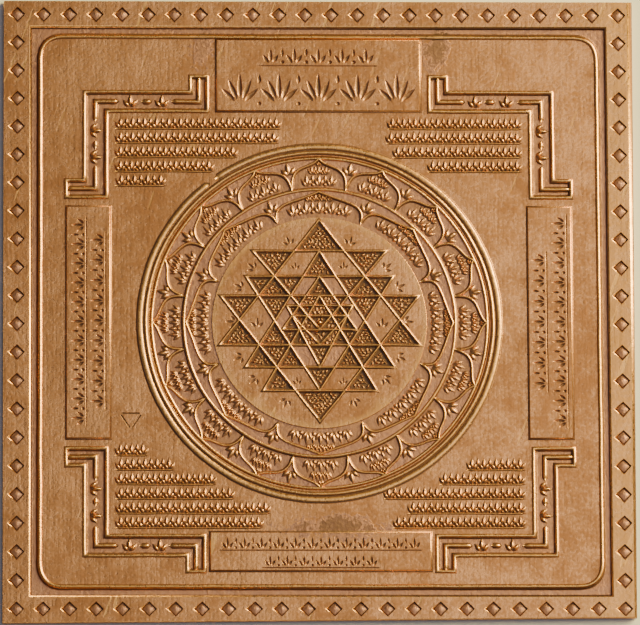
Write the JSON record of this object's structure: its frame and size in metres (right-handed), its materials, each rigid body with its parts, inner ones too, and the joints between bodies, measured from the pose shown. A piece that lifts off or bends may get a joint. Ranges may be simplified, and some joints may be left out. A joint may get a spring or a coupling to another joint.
{
  "type": "yantra plate",
  "caption": "Square copper plate in low relief with a star of interlocking triangles, lotus petals, gates and a lozenge border.",
  "frame": {"origin": "middle of the plate's flat back", "axes": "+Z out of the worked face, +Y to the top of the figure, +X to its right"},
  "size_m": [0.0762, 0.0762, 0.001],
  "materials": {
    "copper": "satin, lightly tarnished copper",
    "dark_copper": "satin, darker tarnish between the fine lines"
  },
  "bodies": {
    "root": {"ground_sheet": "copper", "border_band": "copper", "frame_rib": "copper", "title_plaque": "copper", "base_plaque": "copper", "left_plaque": "copper", "right_plaque": "copper", "top_left_gate_outline": "copper", "top_left_gate_middle_line": "copper", "top_right_gate_outline": "copper", "top_right_gate_middle_line": "copper", "bottom_left_gate_outline": "copper", "bottom_left_gate_middle_line": "copper", "bottom_right_gate_outline": "copper", "bottom_right_gate_middle_line": "copper", "outer_circle": "copper", "second_circle": "copper", "sixteen_petal_ring": "copper", "eight_petal_ring": "copper", "star_disc": "dark_copper", "nine_triangle_star": "dark_copper", "bindu": "dark_copper"}
  },
  "joints": []
}
